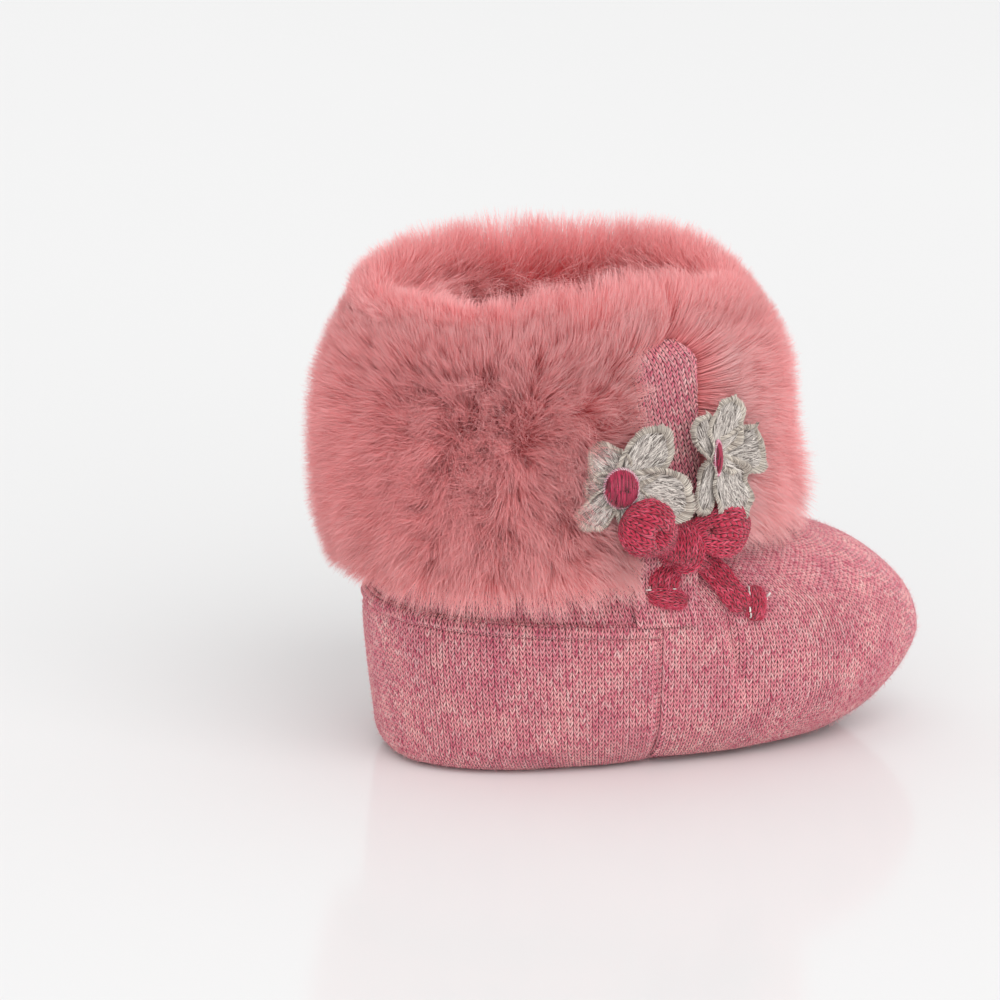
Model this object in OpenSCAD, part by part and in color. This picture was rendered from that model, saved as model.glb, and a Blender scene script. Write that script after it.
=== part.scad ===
// Baby bootie with a turned-down fur cuff, a heel band and a sewn bow and flower trim.
// Toe towards +X, heel towards -X, decorated outer side towards -Y, ground at z = 0.

/* [Shoe] */
// Length of the knitted shoe from heel to toe tip
shoe_length = 112; // [106:1:118]
// Greatest width of the knitted shoe
shoe_width = 59; // [56:1:62]
// Height of the heel band's folded top edge at the sides
band_height = 30; // [28:0.5:32]
// Height of the toe tip above the ground
toe_tip_height = 20; // [18:0.5:22]
// Height at which the instep meets the ankle tube
instep_height = 45; // [43:0.5:48]
// Sideways turn of the toe tip towards the inner side
toe_turn = 3.5; // [0:0.5:5]

/* [Ankle] */
// Front to back size of the knitted ankle tube
ankle_length = 71; // [68:1:74]
// Side to side size of the knitted ankle tube
ankle_width = 54; // [52:1:57]
// Height of the ankle tube's top edge
ankle_top = 88; // [85:1:92]

/* [Fur cuff] */
// Thickness of the pile on the outside of the cuff
pile = 12; // [9:0.5:13]
// Thickness of the pile on the inside of the cuff
inner_pile = 6; // [4:0.5:7]
// Height of the rear cuff's lower edge
cuff_rear_low = 37; // [35:0.5:40]
// Height of the front cuff's lower edge
cuff_front_low = 47.5; // [47:0.5:50]

/* [Trim] */
// Width of the knitted side strip
strip_width = 12.6; // [11:0.2:13.6]
// Outer size of one flower
flower_size = 23; // [20:0.5:24]
// Thickness of the bow's cord
bow_cord = 3.6; // [3:0.1:3.8]
// Thickness of the sewing thread
thread = 0.5; // [0.4:0.05:0.6]

/* [Hidden] */

knit_pink = [0.82, 0.53, 0.56];
fur_pink = [0.84, 0.50, 0.50];
lining_pink = [0.90, 0.72, 0.73];
padding_white = [0.94, 0.93, 0.91];
silver_grey = [0.74, 0.71, 0.66];
raspberry = [0.78, 0.20, 0.36];
thread_pink = [0.62, 0.22, 0.33];

// Places along the shoe
toe_x = shoe_length / 2;
heel_x = -shoe_length / 2;
heel_lean = 2.5;
waist_x = -4;
ankle_x = heel_x + 1.5 + ankle_length / 2;
ankle_front = ankle_x + ankle_length / 2;
ankle_back = ankle_x - ankle_length / 2;

// Roundness: 1 is an ellipse and smaller is squarer
heel_shape = 0.8;
toe_shape = 0.8;
ankle_shape = 0.86;
// Radius where the side walls turn under the sole
heel_edge = 5;
waist_edge = 12;
toe_edge = 20;
// Roundness of that turn: 2 is a quarter circle and 1 a straight slope
waist_turn = 2;
toe_turn_under = 1.4;

// Fabric layers, as depths inwards from the shoe's skin
gap = 0.2;
knit = 1.4;
quarter_out = knit + gap;
quarter_in = quarter_out + 1.3;
heel_pad_out = quarter_in + gap;
heel_pad_in = heel_pad_out + 1.7;
lining_thickness = 0.8;
toe_pad_out = knit + gap;
toe_pad_in = toe_pad_out + 2;

// Heights of the layers in the sole
outsole_top = 1.4;
sole_pad_top = 5.2;
insole_top = 6.4;
wall_low = outsole_top + 0.15;
lining_low = insole_top + 0.5;
inner_leg_low = 62;
band_back_rise = 3;
padding_top = 58;

seam_x = -4.5;
seam_gap = 0.25;
strip_x = -3.2;

function mix(a, b, k) = a + (b - a) * k;
function clamp(k) = max(0, min(1, k));
function ease(k) = let (c = clamp(k)) c * c * (3 - 2 * c);
function unit(v) = v / norm(v);

// How far the section at height z has turned from shoe outline to ankle outline
function to_ankle(z) = ease((z - band_height) / (instep_height - band_height));

// Ends, widest place and half width of the outline at height z
function widest_x(z) = mix(waist_x, ankle_x, to_ankle(z));
function front_x(z) =
    let (rise = clamp((z - toe_tip_height) / (instep_height - toe_tip_height)))
    mix(ankle_front, toe_x, pow(1 - rise * rise, 2 / 3));
function back_x(z) =
    mix(heel_x + heel_lean * (1 - ease(z / band_height)), ankle_back, to_ankle(z));
function half_width(z) =
    mix(shoe_width / 2 - 1.5 * (1 - ease(z / band_height)), ankle_width / 2, to_ankle(z));
function shape(t, z) = mix(cos(t) < 0 ? heel_shape : toe_shape, ankle_shape, to_ankle(z));

// Inward step of the outline where it turns under the sole
function edge_radius(t) =
    cos(t) < 0 ? mix(waist_edge, heel_edge, 1 - pow(1 + cos(t), 2)) : mix(waist_edge, toe_edge, cos(t));
function under_turn(t, z) =
    let (r = edge_radius(t), p = mix(waist_turn, toe_turn_under, max(0, cos(t))), k = clamp(1 - z / r))
    r * (1 - pow(max(0, 1 - pow(k, p)), 1 / p));

// Point on the shoe's skin at angle t, counted from the toe over the inner side, and height z
function skin(t, z) =
    let (
        c = cos(t),
        s = sin(t),
        e = shape(t, z),
        turn = under_turn(t, z),
        reach = (c < 0 ? widest_x(z) - back_x(z) : front_x(z) - widest_x(z)) - turn,
        x = widest_x(z) + sign(c) * reach * pow(abs(c), e),
        y = sign(s) * (half_width(z) - turn) * pow(abs(s), e)
    )
    [x, y + toe_turn * pow(max(0, x) / toe_x, 2), z];

function skin_normal(t, z) =
    let (along = skin(t + 1, z) - skin(t - 1, z), up = skin(t, z + 0.3) - skin(t, z - 0.3))
    unit(cross(along, up));

// The skin moved inwards by depth
function layer(t, z, depth) = skin(t, z) - depth * skin_normal(t, z);

// Angle at which the outline at height z passes station x
function side_angle(x, z) =
    let (w = widest_x(z), turn = under_turn(90, z))
    x >= w
        ? acos(pow((x - w) / (front_x(z) - w - turn), 1 / shape(0, z)))
        : 180 - acos(pow((w - x) / (w - back_x(z) - turn), 1 / shape(180, z)));

// A closed block between two faces of points, at(u index, v index, face)
module block(at, nu, nv) {
    function place(i, j, f) = (f * (nv + 1) + j) * (nu + 1) + i;
    points = [for (f = [0, 1]) for (j = [0:nv]) for (i = [0:nu]) at(i, j, f)];
    faces = concat(
        [for (j = [0:nv - 1]) for (i = [0:nu - 1]) for (half = [0, 1])
            half == 0
                ? [place(i, j, 0), place(i, j + 1, 0), place(i + 1, j + 1, 0)]
                : [place(i, j, 0), place(i + 1, j + 1, 0), place(i + 1, j, 0)]],
        [for (j = [0:nv - 1]) for (i = [0:nu - 1]) for (half = [0, 1])
            half == 0
                ? [place(i, j, 1), place(i + 1, j + 1, 1), place(i, j + 1, 1)]
                : [place(i, j, 1), place(i + 1, j, 1), place(i + 1, j + 1, 1)]],
        [for (i = [0:nu - 1]) for (half = [0, 1])
            half == 0
                ? [place(i, 0, 0), place(i + 1, 0, 0), place(i + 1, 0, 1)]
                : [place(i, 0, 0), place(i + 1, 0, 1), place(i, 0, 1)]],
        [for (i = [0:nu - 1]) for (half = [0, 1])
            half == 0
                ? [place(i, nv, 0), place(i + 1, nv, 1), place(i + 1, nv, 0)]
                : [place(i, nv, 0), place(i, nv, 1), place(i + 1, nv, 1)]],
        [for (j = [0:nv - 1]) for (half = [0, 1])
            half == 0
                ? [place(0, j, 0), place(0, j + 1, 1), place(0, j + 1, 0)]
                : [place(0, j, 0), place(0, j, 1), place(0, j + 1, 1)]],
        [for (j = [0:nv - 1]) for (half = [0, 1])
            half == 0
                ? [place(nu, j, 0), place(nu, j + 1, 0), place(nu, j + 1, 1)]
                : [place(nu, j, 0), place(nu, j + 1, 1), place(nu, j, 1)]]
    );
    polyhedron(points, faces);
}

// Panel behind the side seams, from the inner seam round the heel to the outer seam
module rear_panel(level, rows, out, in, columns = 26) {
    block(
        function(i, j, f)
            let (z = level(i / columns, j), a = side_angle(seam_x - seam_gap, z))
            layer(mix(a, 360 - a, i / columns), z, f == 0 ? out : in),
        columns, rows
    );
}

// Panel in front of the side seams, from the outer seam round the toe to the inner seam
module front_panel(levels, out, in, columns = 26) {
    block(
        function(i, j, f)
            let (z = levels[j], a = side_angle(seam_x + seam_gap, z))
            layer(mix(-a, a, i / columns), z, f == 0 ? out : in),
        columns, len(levels) - 1
    );
}

// Flat layer of the sole between two heights, inset from the skin at each
module sole_layer(heights, insets) {
    sides = 60;
    rows = len(heights) - 1;
    function rim(j) = [
        for (i = [0:sides - 1])
            let (p = skin(i * 360 / sides, heights[j]), n = skin_normal(i * 360 / sides, toe_edge))
            [p.x - insets[j] * n.x, p.y - insets[j] * n.y, heights[j]]
    ];
    points = [for (j = [0:rows]) each rim(j)];
    walls = [
        for (j = [0:rows - 1]) for (i = [0:sides - 1]) for (half = [0, 1])
            let (k = (i + 1) % sides, low = j * sides, high = low + sides)
            half == 0 ? [low + i, high + i, high + k] : [low + i, high + k, low + k]
    ];
    bottom = [for (i = [0:sides - 1]) i];
    top = [for (i = [sides - 1:-1:0]) rows * sides + i];
    polyhedron(points, concat(walls, [bottom, top]));
}

module outsole() {
    color(knit_pink)
        sole_layer([0, 0.3, 0.8, outsole_top], [0, 0, 0, 0]);
}

module sole_padding() {
    color(padding_white)
        sole_layer([outsole_top + gap, 3, sole_pad_top], [5.2, 4.2, 3.8]);
}

module insole() {
    color(lining_pink)
        sole_layer([sole_pad_top + gap, insole_top], [4, 4.2]);
}

function band_top(u) = band_height + band_back_rise * sin(180 * u);

module heel_band() {
    rows = 9;
    color(knit_pink)
        rear_panel(function(u, j) mix(wall_low, band_top(u), pow(j / rows, 1.4)), rows, 0, knit);
}

module rear_quarter() {
    rows = 10;
    low = 16;
    color(knit_pink)
        rear_panel(function(u, j) mix(low, ankle_top, j / rows), rows, quarter_out, quarter_in);
}

heel_rows = 10;
function heel_level(j) =
    j > heel_rows ? inner_leg_low - 1 : mix(lining_low, padding_top, j / heel_rows);

module heel_padding() {
    color(padding_white)
        rear_panel(function(u, j) heel_level(j), heel_rows, heel_pad_out, heel_pad_in);
}

module heel_lining() {
    out = heel_pad_in + gap;
    color(lining_pink)
        rear_panel(function(u, j) heel_level(j), heel_rows + 1, out, out + lining_thickness);
}

// Heights closely spaced where the instep runs nearly flat
instep_levels = [for (k = [0:8]) mix(toe_tip_height + 3, instep_height - 0.4, 1 - pow(1 - k / 8, 1.6))];
ankle_levels = concat([instep_height + 0.4], [for (k = [1:5]) mix(instep_height, ankle_top, k / 5)]);

module vamp() {
    toe_levels = [for (k = [0:7]) mix(wall_low, toe_tip_height, pow(k / 7, 1.7))];
    color(knit_pink)
        front_panel(concat(toe_levels, instep_levels, ankle_levels), 0, knit, 34);
}

module toe_padding() {
    toe_levels = [for (k = [0:4]) mix(lining_low, toe_tip_height, k / 4)];
    top_levels = [instep_height + 0.4, padding_top];
    color(padding_white)
        front_panel(concat(toe_levels, instep_levels, top_levels), toe_pad_out, toe_pad_in, 26);
}

module toe_lining() {
    out = toe_pad_in + gap;
    toe_levels = [for (k = [0:4]) mix(lining_low, toe_tip_height, k / 4)];
    top_levels = [instep_height + 0.4, padding_top, inner_leg_low - 1];
    color(lining_pink)
        front_panel(concat(toe_levels, instep_levels, top_levels), out, out + lining_thickness, 26);
}

module side_strip() {
    low = 33;
    rows = 16;
    columns = 6;
    out = -1.6;
    in = -0.45;
    top = ankle_top - 2;
    color(knit_pink)
        block(
            function(i, j, f)
                let (
                    z = mix(low, top, j / rows),
                    x = strip_x + (i / columns - 0.5) * strip_width
                )
                layer(-side_angle(x, z), z, f == 0 ? out : in),
            columns, rows
        );
}

// Ankle outline as seen from above, and its outward direction
function ankle_rim(t) = let (p = skin(t, instep_height + 20)) [p.x, p.y];
function ankle_out(t) = let (d = ankle_rim(t + 1) - ankle_rim(t - 1)) unit([d.y, -d.x]);

// Pile side of the cuff's section, as outward distance from the ankle outline and height
function pile_side(low, thick) = [
    [thick * 0.45, low - 1],
    [thick * 0.85, low + 1.5],
    [thick, low + 9],
    [thick + 0.8, mix(low, ankle_top, 0.5)],
    [thick, ankle_top - 8],
    [thick * 0.82, ankle_top + 3],
    [thick * 0.45, ankle_top + 9],
    [-1.5, ankle_top + 11],
    [-3 - inner_pile * 0.7, ankle_top + 8],
    [-3.4 - inner_pile, ankle_top + 1],
    [-3.4 - inner_pile, inner_leg_low + 4],
    [-4.4 - inner_pile * 0.4, inner_leg_low]
];

// Backing side of the same section, which wraps over the ankle tube's top edge
function backing_side(low) = [
    [0.5, low + 1.5],
    [0.5, low + 3],
    [0.5, low + 10],
    [0.5, mix(low, ankle_top, 0.5)],
    [0.5, ankle_top - 8],
    [0.5, ankle_top - 2],
    [0.5, ankle_top + 0.6],
    [-1.5, ankle_top + 0.6],
    [-3.4, ankle_top + 0.6],
    [-3.4, ankle_top - 4],
    [-3.4, inner_leg_low + 8],
    [-3.4, inner_leg_low + 1]
];

// One fur panel folded over the ankle tube, between the angles from and to.
// Its pile thins towards the strip, and its top and inner leg run on to top_from or top_to.
module cuff_panel(from, to, top_from, top_to, low, columns) {
    strip_share = 0.42;
    strip_turn = 26;
    first_top_row = 6;
    block(
        function(i, j, f)
            let (
                top = j >= first_top_row,
                a = top ? top_from : from,
                b = top ? top_to : to,
                t = mix(a, b, i / columns),
                near_strip = abs((t > 180 ? t - 360 : t) - strip_top_angle) - 8,
                thick = pile * mix(strip_share, 1, ease(near_strip / strip_turn)),
                q = f == 0 ? pile_side(low, thick)[j] : backing_side(low)[j],
                base = ankle_rim(t),
                out = ankle_out(t)
            )
            [base.x + q.x * out.x, base.y + q.x * out.y, q.y],
        columns, len(backing_side(low)) - 1
    );
}

strip_side_gap = 0.9;
strip_rear_angle = 360 - side_angle(strip_x - strip_width / 2 - strip_side_gap, ankle_top);
strip_front_angle = -side_angle(strip_x + strip_width / 2 + strip_side_gap, ankle_top);
strip_top_angle = -side_angle(strip_x, ankle_top);
inner_seam_angle = side_angle(seam_x, ankle_top);
cuff_gap_angle = 0.4;

module fur_cuff_rear() {
    seam = inner_seam_angle + cuff_gap_angle;
    color(fur_pink)
        cuff_panel(
            seam, strip_rear_angle, seam, 360 + strip_top_angle - cuff_gap_angle, cuff_rear_low, 30
        );
}

module fur_cuff_front() {
    seam = inner_seam_angle - cuff_gap_angle;
    color(fur_pink)
        cuff_panel(
            strip_front_angle, seam, strip_top_angle + cuff_gap_angle, seam, cuff_front_low, 24
        );
}

// Trim pieces face outwards on the outer side: place is a centre, yaw a turn towards the toe
module facing(place, yaw) {
    translate(place)
        rotate([0, 0, yaw])
            rotate([90, 0, 0])
                children();
}

left_flower_at = [-15.2, -39.8, 60.4];
left_flower_yaw = 0;
right_flower_at = [8.2, -34.2, 63.8];
right_flower_yaw = 36;
petal_count = 5;
petal_r = flower_size * 0.25;
petal_ring = flower_size / 2 - petal_r;
border_width = 1;

module petal_ring_2d(r) {
    for (k = [0:petal_count - 1])
        rotate(90 + k * 360 / petal_count)
            translate([petal_ring, 0])
                circle(r, $fn = 40);
}

// Inner field of the flower, inside its raised border
module petal_field_2d(extra) {
    petal_ring_2d(petal_r - border_width + extra);
    circle(petal_ring + extra, $fn = 40);
}

module flower_petals() {
    linear_extrude(1)
        petal_field_2d(0);
}

module flower_border() {
    fit = 0.08;
    linear_extrude(1.5)
        difference() {
            petal_ring_2d(petal_r);
            petal_field_2d(fit);
        }
}

module flower_centre() {
    translate([0, 0, 1.1])
        rotate_extrude($fn = 40)
            intersection() {
                translate([0, -1.6])
                    circle(3.5, $fn = 60);
                square([4, 4]);
            }
}

module left_flower_petals() {
    color(silver_grey) facing(left_flower_at, left_flower_yaw) flower_petals();
}

module left_flower_border() {
    color(silver_grey) facing(left_flower_at, left_flower_yaw) flower_border();
}

module left_flower_centre() {
    color(raspberry) facing(left_flower_at, left_flower_yaw) flower_centre();
}

module right_flower_petals() {
    color(silver_grey) facing(right_flower_at, right_flower_yaw) flower_petals();
}

module right_flower_border() {
    color(silver_grey) facing(right_flower_at, right_flower_yaw) flower_border();
}

module right_flower_centre() {
    color(raspberry) facing(right_flower_at, right_flower_yaw) flower_centre();
}

// Bow of knitted cord: flat ring loops, a round knot and two hanging tails
knot_at = [-0.9, -32, 46.8];
knot_r = 3.3;
loop_r = 3.7;
left_loop_from_knot = [-9.5, -11.1, 5.2];
right_loop_from_knot = [8.7, 0.8, 1.2];

module rod(from, to, r) {
    v = to - from;
    translate(from)
        rotate([0, acos(v.z / norm(v)), atan2(v.y, v.x)])
            union() {
                cylinder(h = norm(v), r = r, $fn = 24);
                sphere(r, $fn = 24);
                translate([0, 0, norm(v)])
                    sphere(r, $fn = 24);
            }
}

module cord_loop(place, yaw) {
    facing(place, yaw)
        rotate_extrude($fn = 48)
            translate([loop_r, 0])
                circle(bow_cord / 2 - 0.2, $fn = 24);
}

module bow_knot() {
    color(raspberry) translate(knot_at) sphere(knot_r, $fn = 48);
}

module bow_left_loop() {
    color(raspberry) cord_loop(knot_at + left_loop_from_knot, 0);
}

module bow_right_loop() {
    color(raspberry) cord_loop(knot_at + right_loop_from_knot, 26);
}

left_tail_end = [-3.2, -33.1, 36.8];
right_tail_end = [11.5, -30.6, 35];

module bow_left_tail() {
    from = knot_at + [-1.8, -0.6, -5.2];
    color(raspberry) rod(from, left_tail_end, bow_cord / 2);
}

module bow_right_tail() {
    from = knot_at + [3.4, 0.6, -4.6];
    color(raspberry) rod(from, right_tail_end, bow_cord / 2);
}

module bow_left_tail_fold() {
    from = left_tail_end + [-2, 0, -3.8];
    to = left_tail_end + [4, 0, -4.4];
    color(raspberry) rod(from, to, bow_cord / 2 - 0.1);
}

module bow_right_tail_fold() {
    from = right_tail_end + [4, 0.6, 0.6];
    to = right_tail_end + [3.3, 0.3, -3.4];
    color(raspberry) rod(from, to, bow_cord / 2 - 0.2);
}

// Short sewn stitches that lie just proud of the skin between stations along a line
module stitches(at, count, share) {
    for (k = [0:count - 1]) {
        from = at(k / count);
        to = at((k + share) / count);
        v = to - from;
        translate(from)
            rotate([0, acos(v.z / norm(v)), atan2(v.y, v.x)])
                cylinder(h = norm(v), d = thread, $fn = 16);
    }
}

module heel_band_topstitch() {
    inset = 2.6;
    proud = thread / 2 + 0.12;
    color(thread_pink)
        stitches(
            function(u)
                let (z = band_top(u) - inset, a = side_angle(seam_x - 1, z))
                layer(mix(a, 360 - a, u), z, -proud),
            42, 0.72
        );
}

module bow_tack_stitches() {
    tack_r = 0.6;
    end_x = 18.6;
    end_z = 35.5;
    color(silver_grey) {
        translate(knot_at + (knot_r + tack_r + 0.1) * unit([0.45, -0.85, -0.35]))
            sphere(tack_r, $fn = 24);
        translate(layer(-side_angle(end_x, end_z), end_z, -tack_r - 0.1))
            sphere(tack_r, $fn = 24);
    }
}

module vamp_stitching() {
    proud = thread / 2 + 0.12;
    color(thread_pink)
        stitches(
            function(u)
                let (z = mix(34.5, 43, u), x = 15.6 + 6 * sin(150 * u))
                layer(-side_angle(x, z), z, -proud),
            5, 0.7
        );
}

outsole();
sole_padding();
insole();
heel_band();
heel_band_topstitch();
rear_quarter();
heel_padding();
heel_lining();
vamp();
toe_padding();
toe_lining();
side_strip();
fur_cuff_rear();
fur_cuff_front();
left_flower_petals();
left_flower_border();
left_flower_centre();
right_flower_petals();
right_flower_border();
right_flower_centre();
bow_knot();
bow_left_loop();
bow_right_loop();
bow_left_tail();
bow_right_tail();
bow_left_tail_fold();
bow_right_tail_fold();
bow_tack_stitches();
vamp_stitching();
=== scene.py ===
"""Baby bootie: fur, knit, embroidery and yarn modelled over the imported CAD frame."""
import math

import bpy
import numpy as np
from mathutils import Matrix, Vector


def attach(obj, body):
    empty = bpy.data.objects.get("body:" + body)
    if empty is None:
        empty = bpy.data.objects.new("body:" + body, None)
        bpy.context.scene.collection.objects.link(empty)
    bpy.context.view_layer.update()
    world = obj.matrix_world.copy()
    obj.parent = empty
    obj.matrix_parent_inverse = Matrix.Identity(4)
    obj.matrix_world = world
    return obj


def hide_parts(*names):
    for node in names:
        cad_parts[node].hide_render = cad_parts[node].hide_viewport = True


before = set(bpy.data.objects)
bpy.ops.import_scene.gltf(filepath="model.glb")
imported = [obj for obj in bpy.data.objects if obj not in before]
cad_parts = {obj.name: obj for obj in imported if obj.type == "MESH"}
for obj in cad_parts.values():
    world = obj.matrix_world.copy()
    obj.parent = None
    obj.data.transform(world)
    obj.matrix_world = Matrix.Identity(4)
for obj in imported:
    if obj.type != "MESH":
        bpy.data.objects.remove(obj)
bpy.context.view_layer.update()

rng = np.random.default_rng(11)

# Form of the shoe in millimetres, as in the CAD model; MM turns it into metres.
MM = 0.001
BASE = 0.02
TOE_X, HEEL_X = 56.0, -56.0
HALF_WIDTH, ANKLE_HALF_WIDTH = 29.5, 27.0
BAND_HEIGHT, BAND_BACK_RISE = 30.0, 3.0
TOE_TIP_HEIGHT, INSTEP_HEIGHT, TOE_TURN = 20.0, 45.0, 3.5
WAIST_X, ANKLE_X = -4.0, -19.0
ANKLE_FRONT, ANKLE_BACK, ANKLE_TOP = 16.5, -54.5, 88.0
HEEL_LEAN = 2.5
HEEL_SHAPE, TOE_SHAPE, ANKLE_SHAPE = 0.8, 0.8, 0.86
HEEL_EDGE, WAIST_EDGE, TOE_EDGE, TOE_TURN_UNDER = 5.0, 12.0, 20.0, 1.4
SEAM_X, STRIP_X, STRIP_WIDTH = -4.5, -4.4, 12.6
INNER_LEG_LOW, LINING_LOW, PADDING_TOP = 62.0, 6.9, 58.0
CUFF_REAR_LOW, CUFF_FRONT_LOW = 37.0, 47.5

# Size of one knit stitch
WALE = 1.25
COURSE = 1.0
LEG_RISE = 2.4


# ---- maths of the form

def mix(a, b, k):
    return a + (b - a) * k


def ease(k):
    c = np.clip(k, 0, 1)
    return c * c * (3 - 2 * c)


def unit(v):
    return v / np.maximum(np.linalg.norm(v, axis=-1, keepdims=True), 1e-9)


def grid(rows, columns):
    return np.meshgrid(rows, columns, indexing="ij")


def vec(*parts):
    return np.stack(np.broadcast_arrays(*parts), axis=-1).astype(float)


def wave(x, y, seed):
    """Smooth noise from a few crossing sines, between about -1 and 1."""
    value = 0
    for k in range(1, 5):
        turn = seed * 1.7 + k * 2.4
        value = value + np.sin(x * math.cos(turn) * k + y * math.sin(turn) * k + seed * k) / k
    return value / 2


def to_ankle(z):
    return ease((z - BAND_HEIGHT) / (INSTEP_HEIGHT - BAND_HEIGHT))


def widest_x(z):
    return mix(WAIST_X, ANKLE_X, to_ankle(z))


def front_x(z):
    rise = np.clip((z - TOE_TIP_HEIGHT) / (INSTEP_HEIGHT - TOE_TIP_HEIGHT), 0, 1)
    return mix(ANKLE_FRONT, TOE_X, (1 - rise**2) ** (2 / 3))


def back_x(z):
    return mix(HEEL_X + HEEL_LEAN * (1 - ease(z / BAND_HEIGHT)), ANKLE_BACK, to_ankle(z))


def half_width(z):
    return mix(HALF_WIDTH - 1.5 * (1 - ease(z / BAND_HEIGHT)), ANKLE_HALF_WIDTH, to_ankle(z))


def bell(x, width):
    """Bell curve round 0, of height 1."""
    return np.exp(-((x / width) ** 2))


def turn_from(middle, t):
    """Angle t counted from middle, between -180 and 180."""
    return ((t - middle + 180) % 360) - 180


def cos_sin(t):
    a = np.radians(t)
    return np.cos(a), np.sin(a)


def under_turn(t, z):
    """Inward step of the outline where it turns under the sole."""
    c = cos_sin(t)[0]
    heel = mix(WAIST_EDGE, HEEL_EDGE, 1 - (1 + c) ** 2)
    r = np.where(c < 0, heel, mix(WAIST_EDGE, TOE_EDGE, c))
    p = mix(2, TOE_TURN_UNDER, np.maximum(0, c))
    k = np.clip(1 - z / r, 0, 1)
    return r * (1 - np.maximum(0, 1 - k**p) ** (1 / p))


def shape(c, z):
    return mix(np.where(c < 0, HEEL_SHAPE, TOE_SHAPE), ANKLE_SHAPE, to_ankle(z))


def skin(t, z):
    """Point on the shoe's skin at angle t, from the toe over the inner side, and height z."""
    c, s = cos_sin(t)
    e = shape(c, z)
    turn = under_turn(t, z)
    reach = np.where(c < 0, widest_x(z) - back_x(z), front_x(z) - widest_x(z)) - turn
    x = widest_x(z) + np.sign(c) * reach * np.abs(c) ** e
    y = np.sign(s) * (half_width(z) - turn) * np.abs(s) ** e
    return vec(x, y + TOE_TURN * (np.maximum(0, x) / TOE_X) ** 2, z)


def skin_normal(t, z):
    return unit(np.cross(skin(t + 1, z) - skin(t - 1, z), skin(t, z + 0.3) - skin(t, z - 0.3)))


def layer(t, z, depth):
    return skin(t, z) - np.asarray(depth)[..., None] * skin_normal(t, z)


def side_angle(x, z):
    """Angle at which the outline at height z passes station x."""
    w, turn = widest_x(z), under_turn(90, z)
    ahead = np.clip((x - w) / (front_x(z) - w - turn), 0, 1) ** (1 / shape(1, z))
    behind = np.clip((w - x) / (w - back_x(z) - turn), 0, 1) ** (1 / shape(-1, z))
    return np.where(x >= w, np.degrees(np.arccos(ahead)), 180 - np.degrees(np.arccos(behind)))


def ankle_rim(t):
    return skin(t, INSTEP_HEIGHT + 20)[..., :2]


def ankle_out(t):
    d = ankle_rim(t + 1) - ankle_rim(t - 1)
    return unit(vec(d[..., 1], -d[..., 0]))


def run_along(points, axis=0):
    """Length run along one axis of a grid of points, starting at 0."""
    step = np.linalg.norm(np.diff(points, axis=axis), axis=-1)
    start = np.zeros_like(np.take(step, [0], axis=axis))
    return np.concatenate([start, np.cumsum(step, axis=axis)], axis=axis)


def even_steps(at, count, probes=1500):
    """Values from 0 to 1 that step evenly along the curve at(u), and its length."""
    u = np.linspace(0, 1, probes)
    run = run_along(at(u))
    return np.interp(np.linspace(0, run[-1], count), run, u), run[-1]


def grid_normals(points, closed=False):
    if closed:
        padded = np.concatenate([points[-2:-1], points, points[1:2]])
        du = np.gradient(padded, axis=0)[1:-1]
    else:
        du = np.gradient(points, axis=0)
    return unit(np.cross(du, np.gradient(points, axis=1)))


# ---- meshes

def mesh_piece(name, points, quads, look, node, uvs):
    """A piece of four-cornered faces, none of it below the shoe's base; look is its material and a slot name
    that is not used.
    """
    material, slot = look
    points = np.maximum(points, [-np.inf, -np.inf, BASE])
    mesh = bpy.data.meshes.new(name)
    quads = np.ascontiguousarray(quads, dtype=np.int32)
    mesh.vertices.add(len(points))
    mesh.vertices.foreach_set("co", (points.astype(np.float32) * MM).ravel())
    mesh.loops.add(quads.size)
    mesh.loops.foreach_set("vertex_index", quads.ravel())
    mesh.polygons.add(len(quads))
    mesh.polygons.foreach_set("loop_start", np.arange(0, quads.size, 4, dtype=np.int32))
    mesh.polygons.foreach_set("use_smooth", np.ones(len(quads), dtype=bool))
    for layer_name, uv in uvs.items():
        data = mesh.uv_layers.new(name=layer_name).data
        data.foreach_set("uv", np.asarray(uv, np.float32)[quads.ravel()].ravel())
    mesh.update(calc_edges=True)
    mesh.validate()
    mesh.materials.append(material)
    piece = bpy.data.objects.new(name, mesh)
    bpy.context.scene.collection.objects.link(piece)
    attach(piece, "root")
    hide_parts(node)
    return piece


def grid_quads(nu, nv):
    """Faces of a grid whose points are stored with v running fastest."""
    i, j = grid(np.arange(nu - 1), np.arange(nv - 1))
    low = (i * nv + j).ravel()
    return np.stack([low, low + nv, low + nv + 1, low + 1], axis=1)


def unit_square(nu, nv):
    u, v = grid(np.linspace(0, 1, nu), np.linspace(0, 1, nv))
    return vec(u, v).reshape(-1, 2)


def grid_piece(name, points, look, node, stitches=None):
    """A sheet from a grid of points; stitches is its wale and course count at each point."""
    nu, nv = points.shape[:2]
    uvs = {"OFBake": unit_square(nu, nv)}
    if stitches is not None:
        uvs["Knit"] = stitches.reshape(-1, 2)
    return mesh_piece(name, points.reshape(-1, 3), grid_quads(nu, nv), look, node, uvs)


def stitch_relief(a, b):
    """Height, from 0 to 1, of V stitches at wale a and course b."""
    across = np.abs(a % 1 - 0.5)
    along = (b - LEG_RISE * across) % 1
    floor = np.where(across < 0.25, 0.5, 0.15)
    ridge = np.maximum(np.abs(np.sin(2 * np.pi * across)) ** 0.75, floor)
    return ridge * (0.15 + 0.85 * (1 - (2 * along - 1) ** 2))


def stitched_piece(name, points, a, b, relief, look, node, closed=False):
    """A sheet with V stitches raised on it, from the wale a and course b at each point."""
    raised = points + (relief * stitch_relief(a, b))[..., None] * grid_normals(points, closed)
    return grid_piece(name, raised, look, node, vec(a, b))


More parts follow.
